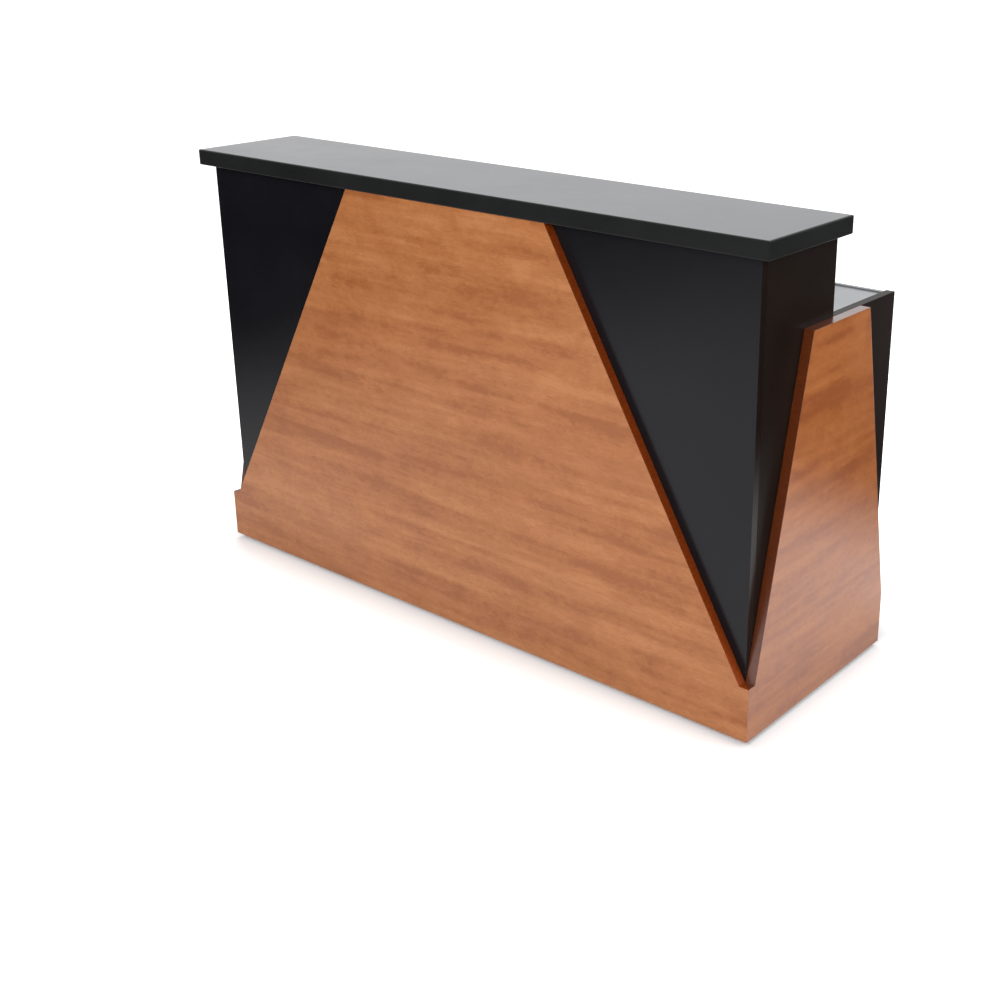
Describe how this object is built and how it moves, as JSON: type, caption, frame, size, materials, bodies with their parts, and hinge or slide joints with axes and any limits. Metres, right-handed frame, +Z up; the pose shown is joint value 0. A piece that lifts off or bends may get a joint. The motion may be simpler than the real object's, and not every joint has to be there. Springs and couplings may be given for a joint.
{
  "type": "mobile bar unit",
  "caption": "Mobile bar on swivel casters: black cabinet with wooden fascia boards and a raised bar top, steel worktop with sink, bottle rails and rack bays on the server's side.",
  "frame": {"origin": "on the floor under the middle of the whole outline", "axes": "+X along the bar, to the guest's right; -Y towards the guest, +Y towards the server; +Z up"},
  "size_m": [1.812, 0.705, 1.143],
  "materials": {
    "black_board": "satin laminate",
    "top_laminate": "satin laminate",
    "edge_band": "satin",
    "cherry_veneer": "satin lacquer",
    "plywood": "bare",
    "stainless_steel": "brushed",
    "black_steel": "satin paint",
    "zinc_steel": "zinc plated",
    "drain_plastic": "matte",
    "hose_plastic": "semi-gloss",
    "wheel_plastic": "matte",
    "tyre_rubber": "matte"
  },
  "bodies": {
    "carcass": {"base_deck": "black_board", "rear_plinth": "black_board", "front_panel": "black_board", "left_end_panel": "black_board", "right_end_panel": "black_board", "left_divider": "black_board", "right_divider": "black_board", "sink_cover": "black_board", "bar_top": "top_laminate", "bar_top_edging": "edge_band", "front_fascia": "cherry_veneer", "left_fascia": "cherry_veneer", "right_fascia": "cherry_veneer", "deck_bearers": "plywood", "worktop_core": "plywood", "core_ledgers": "plywood", "cover_cleats": "plywood", "worktop": "stainless_steel", "splashback": "stainless_steel", "sink_basin": "stainless_steel", "drain_strainer": "stainless_steel", "left_speed_rail": "stainless_steel", "right_speed_rail": "stainless_steel", "speed_rail_bolts": "stainless_steel", "hose_clamps": "stainless_steel", "left_bay_runners": "black_steel", "right_bay_runners": "black_steel", "drain_locknut": "drain_plastic", "drain_elbow": "drain_plastic", "drain_hose": "hose_plastic", "bearer_bolts": "zinc_steel", "top_brackets": "zinc_steel", "hose_bracket": "zinc_steel", "caster_plates": "zinc_steel", "caster_bolts": "zinc_steel"},
    "front_left_swivel": {"front_left_fork": "zinc_steel", "front_left_axle": "zinc_steel"},
    "front_left_roller": {"front_left_wheel": "wheel_plastic", "front_left_tyre": "tyre_rubber"},
    "front_right_swivel": {"front_right_fork": "zinc_steel", "front_right_axle": "zinc_steel"},
    "front_right_roller": {"front_right_wheel": "wheel_plastic", "front_right_tyre": "tyre_rubber"},
    "rear_left_swivel": {"rear_left_fork": "zinc_steel", "rear_left_axle": "zinc_steel"},
    "rear_left_roller": {"rear_left_wheel": "wheel_plastic", "rear_left_tyre": "tyre_rubber"},
    "rear_left_brake": {"rear_left_pedal": "zinc_steel"},
    "rear_right_swivel": {"rear_right_fork": "zinc_steel", "rear_right_axle": "zinc_steel"},
    "rear_right_roller": {"rear_right_wheel": "wheel_plastic", "rear_right_tyre": "tyre_rubber"},
    "rear_right_brake": {"rear_right_pedal": "zinc_steel"}
  },
  "joints": [
    {"name": "front_left_swivel_turn", "type": "hinge", "parent": "carcass", "child": "front_left_swivel", "pos_m": [-0.688, -0.1855, 0.1115], "axis": [0, 0, 1], "continuous": true},
    {"name": "front_left_wheel_spin", "type": "hinge", "parent": "front_left_swivel", "child": "front_left_roller", "pos_m": [-0.688, -0.2235, 0.05], "axis": [1, 0, 0], "continuous": true},
    {"name": "front_right_swivel_turn", "type": "hinge", "parent": "carcass", "child": "front_right_swivel", "pos_m": [0.688, -0.1855, 0.1115], "axis": [0, 0, 1], "continuous": true},
    {"name": "front_right_wheel_spin", "type": "hinge", "parent": "front_right_swivel", "child": "front_right_roller", "pos_m": [0.688, -0.2235, 0.05], "axis": [1, 0, 0], "continuous": true},
    {"name": "rear_left_swivel_turn", "type": "hinge", "parent": "carcass", "child": "rear_left_swivel", "pos_m": [-0.688, 0.1455, 0.1115], "axis": [0, 0, 1], "continuous": true},
    {"name": "rear_left_wheel_spin", "type": "hinge", "parent": "rear_left_swivel", "child": "rear_left_roller", "pos_m": [-0.688, 0.1835, 0.05], "axis": [1, 0, 0], "continuous": true},
    {"name": "rear_left_brake_press", "type": "hinge", "parent": "rear_left_swivel", "child": "rear_left_brake", "pos_m": [-0.688, 0.2155, 0.1], "axis": [-1, 0, 0], "range_deg": [0, 12]},
    {"name": "rear_right_swivel_turn", "type": "hinge", "parent": "carcass", "child": "rear_right_swivel", "pos_m": [0.688, 0.1455, 0.1115], "axis": [0, 0, 1], "continuous": true},
    {"name": "rear_right_wheel_spin", "type": "hinge", "parent": "rear_right_swivel", "child": "rear_right_roller", "pos_m": [0.688, 0.1835, 0.05], "axis": [1, 0, 0], "continuous": true},
    {"name": "rear_right_brake_press", "type": "hinge", "parent": "rear_right_swivel", "child": "rear_right_brake", "pos_m": [0.688, 0.2155, 0.1], "axis": [-1, 0, 0], "range_deg": [0, 12]}
  ]
}
